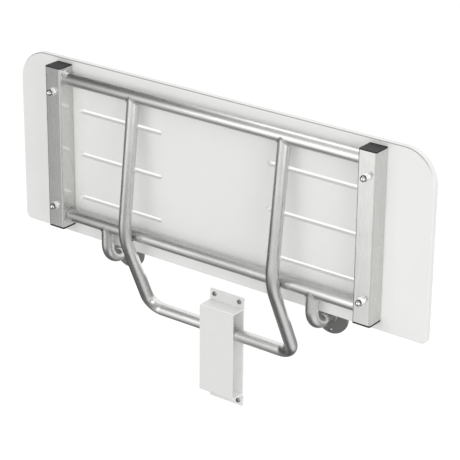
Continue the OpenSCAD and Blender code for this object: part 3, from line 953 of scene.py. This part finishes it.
class SEAT_OT_fasteners(bpy.types.Operator):
    """Put the dome nuts, washers and wall screws in their places"""

    bl_idname = "seat.fasteners"
    bl_label = "Nuts, Washers and Screws"

    def execute(self, context):
        values = context.scene.seat_hardware_settings
        heights = (WASHERS_LOW.z + WASHER_W / 2, WASHERS_HIGH.z - WASHER_W / 2)
        at_washers, at_nuts = ([(x, y, z) for x in (-SIDE_CENTRE.x, SIDE_CENTRE.x) for z in heights]
                               for y in (SIDE_LOW.y, SIDE_LOW.y - values.washer_thickness))
        across, up, circle = values.screw_across / 2, values.screw_up / 2, values.screw_circle / 2
        on_plate = [(x, PLATE_FACE, z) for x in (-across, across) for z in (-up, up)]
        on_flanges = [(side * FLANGE_CENTRE.x + circle * cos(a - QUARTER), FLANGE_FACE,
                       FLANGE_CENTRE.z + circle * sin(a - QUARTER))
                      for side, _ in SIDES for a in round_angles(3)]
        repeated("round_washers", washer_ring(values), at_washers,
                 "bright", "seat", "polished_steel", "stud_washers")
        repeated("domed_nuts", dome_nut(values), at_nuts,
                 "bright", "seat", "polished_steel", "dome_nuts")
        repeated("bracket_screws", wall_screw(values, -PLATE_FACE), on_plate,
                 "screw", "wall_frame", "screw_steel", "guide_screws")
        repeated("flange_wall_screws", wall_screw(values, -FLANGE_FACE), on_flanges,
                 "screw", "wall_frame", "screw_steel", "flange_screws")
        return {"FINISHED"}


class SEAT_OT_hidden_pieces(bpy.types.Operator):
    """Finish the studs and inserts, which stay as the solids have them"""

    bl_idname = "seat.hidden_pieces"
    bl_label = "Studs and Inserts"

    def execute(self, context):
        for node, finish in (("panel_studs", "plate"), ("panel_inserts", "brass")):
            for slot in NODES[node].material_slots:
                slot.material = material(finish)
        return {"FINISHED"}


# Stage


def placed(piece, place, aim, front):
    """Puts a piece at a place, with its front axis towards a point."""
    turn = (Vector(aim) - Vector(place)).to_track_quat(front, "Y")
    piece.matrix_world = Matrix.LocRotScale(Vector(place), turn, None)
    return piece


def card(name, centre, size, facing, finish):
    """A flat stage card that looks towards a point."""
    width, height = size[0] / 2, size[1] / 2
    mesh = bpy.data.meshes.new(name)
    mesh.from_pydata([(-width, -height, 0), (width, -height, 0), (width, height, 0), (-width, height, 0)],
                     [], [(0, 1, 2, 3)])
    mesh.materials.append(finish)
    piece = placed(link(name, mesh), centre, facing, "Z")
    return piece


def lamp(name, place, aim, size, power):
    data = bpy.data.lights.new(name, "AREA")
    data.shape, data.energy = "RECTANGLE", power
    data.size, data.size_y = size
    placed(link(name, data), place, aim, "-Z")


def only_reflected(piece):
    """Hides a piece from every ray but those of reflections."""
    for ray in ("camera", "diffuse", "transmission", "shadow"):
        setattr(piece, f"visible_{ray}", False)


def bare_tree(owner):
    """The emptied node tree of a new material or world."""
    owner.use_nodes = True
    owner.node_tree.nodes.clear()
    return owner.node_tree


def stage_finish(name, surface):
    """A material with one shader, which a function builds on its empty tree."""
    finish = bpy.data.materials.new(name)
    tree = bare_tree(finish)
    add_node(tree, "ShaderNodeOutputMaterial", (("Surface", surface(tree)),))
    return finish


def seen_directly(beside):
    """1 for rays of the camera, of reflections and of what is seen through glass."""
    rays = add_node(beside, "ShaderNodeLightPath").outputs
    value = rays["Is Camera Ray"]
    for name in ("Is Glossy Ray", "Is Transmission Ray"):
        value = arithmetic("MAXIMUM", value, rays[name])
    return value


def tent_glow(tree):
    """The tent's light, graded by its direction from the seat so that the tubes show light and dark bands."""
    way = add_node(tree, "ShaderNodeVectorMath", ((0, object_place(tree)),), operation="NORMALIZE")
    across, back, up = axes(way.outputs[0])

    sides = product(fade(across, -0.74, -0.46, 0.14, 1.80), fade(across, -0.54, -0.20, 1.0, 0.55))
    below = fade(up, -0.93, -0.10, 0.12, 1.0)
    above = blended(fade(up, 0.78, 0.05, 0.0, 1.0), fade(across, -0.60, -0.46, 0.08, 0.50), 1.0)
    level = product(sides, product(below, above))
    open_side = fade(across, 0.15, 0.5, 0.0, 1.0)
    behind = fade(back, 0.25, 0.7, 0.0, 1.0)
    high_behind = product(fade(back, 0.05, 0.25, 0.0, 1.0), fade(up, 0.45, 0.62, 0.0, 1.0))
    depth = add_node(tree, "ShaderNodeLightPath").outputs["Diffuse Depth"]
    bounced = arithmetic("GREATER_THAN", depth, 0.5)
    for share, goal in ((open_side, fade(up, -0.75, -0.4, 1.0, 0.76)),
                        (behind, fade(up, -0.35, 0.05, 0.36, 1.0)),
                        (high_behind, fade(across, -0.555, -0.53, 0.15, 2.4)),
                        (bounced, 1.9)):
        level = blended(share, level, goal)
    return add_node(tree, "ShaderNodeEmission", (("Strength", level),)).outputs[0]


def card_glow(tree):
    return add_node(tree, "ShaderNodeEmission", (("Strength", 1.3),)).outputs[0]


def reflection_shade_veil(tree):
    """A sheet that only the steel's reflections see, which paints shade into them: darkest near the middle of its
    foot, fading out towards its sides and top.
    """
    across, height = axes(object_place(tree))[:2]
    share = product(fade(across, -0.27, -0.19, 0.0, 0.45), fade(across, 0.02, 0.22, 1.0, 0.0))
    share = product(share, fade(height, 0.22, 0.42, 1.0, 0.0))
    through = ramp(share, 0.0, 1.0, 1.0, 0.0)
    return add_node(tree, "ShaderNodeBsdfTransparent", (("Color", through),)).outputs[0]


def light_room(scene):
    """A world that is white where it is seen, and a little less where it lights the seat."""
    scene.world = bpy.data.worlds.new("Pale room")
    tree = bare_tree(scene.world)
    lit, seen = (add_node(tree, "ShaderNodeBackground", (("Color", (1, 1, 1, 1)), ("Strength", strength)))
                 for strength in (0.89, 1.0))
    mix = add_node(tree, "ShaderNodeMixShader", (
        (0, seen_directly(tree)), (1, lit.outputs[0]), (2, seen.outputs[0])))
    add_node(tree, "ShaderNodeOutputWorld", (("Surface", mix.outputs[0]),))


def lay_floor(drop):
    finish, shader = new_material("Pale floor", (0.82, 0.82, 0.82), 0, 0.9)
    feed(shader, "Specular IOR Level", 0.0)
    feed(shader, "Emission Color", (1, 1, 1, 1))
    feed(shader, "Emission Strength", product(seen_directly(shader), 0.27))
    floor = card("Floor", (0, 0, -drop), (24, 24), (0, 0, 1), finish)
    floor.visible_glossy = False


def hang_reflected():
    """What only the steel's reflections see: a grey tent, a glowing white card for the wall and a net that paints
    shade into them.
    """
    bm = bmesh.new()
    bmesh.ops.create_uvsphere(bm, u_segments=48, v_segments=24, radius=9)
    mesh = mesh_from(bm, "Grey tent")
    mesh.materials.append(stage_finish("Grey tent", tent_glow))
    tent = link("Grey tent", mesh)
    wall = card("White card", (0, 0.06, 0.29), (1.0, 0.4), (0, -1, 0.29), stage_finish("White card", card_glow))
    net = card("Grey net", (0, -0.37, 0), (0.7, 0.84), (0, -1, 0), stage_finish("Grey net", reflection_shade_veil))
    for piece in (tent, wall, net):
        only_reflected(piece)


def set_camera(scene, values):
    data = bpy.data.cameras.new("Camera")
    data.sensor_width, data.lens = 36, values.focal
    a, e, r = (radians(v) for v in (-values.azimuth, values.elevation, values.roll))
    forward = Vector((sin(a) * cos(e), cos(a) * cos(e), -sin(e)))
    right = Vector((cos(a), -sin(a), 0))
    up = right.cross(forward)
    right, up = cos(r) * right + sin(r) * up, -sin(r) * right + cos(r) * up
    turn = Matrix((right, up, -forward)).transposed().to_4x4()
    scene.camera = link("Camera", data)
    scene.camera.matrix_world = Matrix.Translation(Vector(values.camera_place)) @ turn


class SEAT_OT_stage(bpy.types.Operator):
    """Set up the pale floor, the soft light and the camera"""

    bl_idname = "seat.stage"
    bl_label = "Stage"

    def execute(self, context):
        scene = context.scene
        values = scene.seat_stage_settings
        light_room(scene)
        lay_floor(values.floor_drop)
        hang_reflected()
        lamp("Overhead softbox", (0.4, -0.4, 2.6), (0, 0, 0.3), (2.4, 1.6), 5)
        lamp("Front softbox", (-1.2, -3.2, 0.9), (0, 0, 0.2), (2.0, 1.4), 9)
        lamp("Right softbox", (2.6, -1.4, 0.7), (0, 0, 0.2), (1.2, 1.6), 16)
        set_camera(scene, values)
        scene.view_settings.view_transform = "Standard"
        return {"FINISHED"}


# Add-on


class SEAT_PT_sidebar(bpy.types.Panel):
    """Lists the seat's pieces and their sizes"""

    bl_idname = "SEAT_PT_sidebar"
    bl_label = "Fold Down Wall Seat"
    bl_space_type = "VIEW_3D"
    bl_region_type = "UI"
    bl_category = "Wall Seat"

    def draw(self, context):
        for kind in OPERATORS:
            self.layout.operator(kind.bl_idname)
        for name, group in SETTINGS.items():
            box = self.layout.box()
            for prop in group.__annotations__:
                box.prop(getattr(context.scene, name), prop)


OPERATORS = (
    SEAT_OT_panel,
    SEAT_OT_side_tubes,
    SEAT_OT_rails,
    SEAT_OT_brace,
    SEAT_OT_hinge_arms,
    SEAT_OT_guide_bracket,
    SEAT_OT_fasteners,
    SEAT_OT_hidden_pieces,
    SEAT_OT_stage,
)
CLASSES = (*SETTINGS.values(), *OPERATORS, SEAT_PT_sidebar)


def register():
    for kind in CLASSES:
        bpy.utils.register_class(kind)
    for name, group in SETTINGS.items():
        setattr(bpy.types.Scene, name, bpy.props.PointerProperty(type=group))


def unregister():
    for name in SETTINGS:
        delattr(bpy.types.Scene, name)
    for kind in reversed(CLASSES):
        bpy.utils.unregister_class(kind)


def main():
    register()
    bpy.ops.seat.panel()
    bpy.ops.seat.side_tubes()
    bpy.ops.seat.rails()
    bpy.ops.seat.brace()
    bpy.ops.seat.hinge_arms()
    bpy.ops.seat.guide_bracket()
    bpy.ops.seat.fasteners()
    bpy.ops.seat.hidden_pieces()
    bpy.ops.seat.stage()


if __name__ == "__main__":
    main()
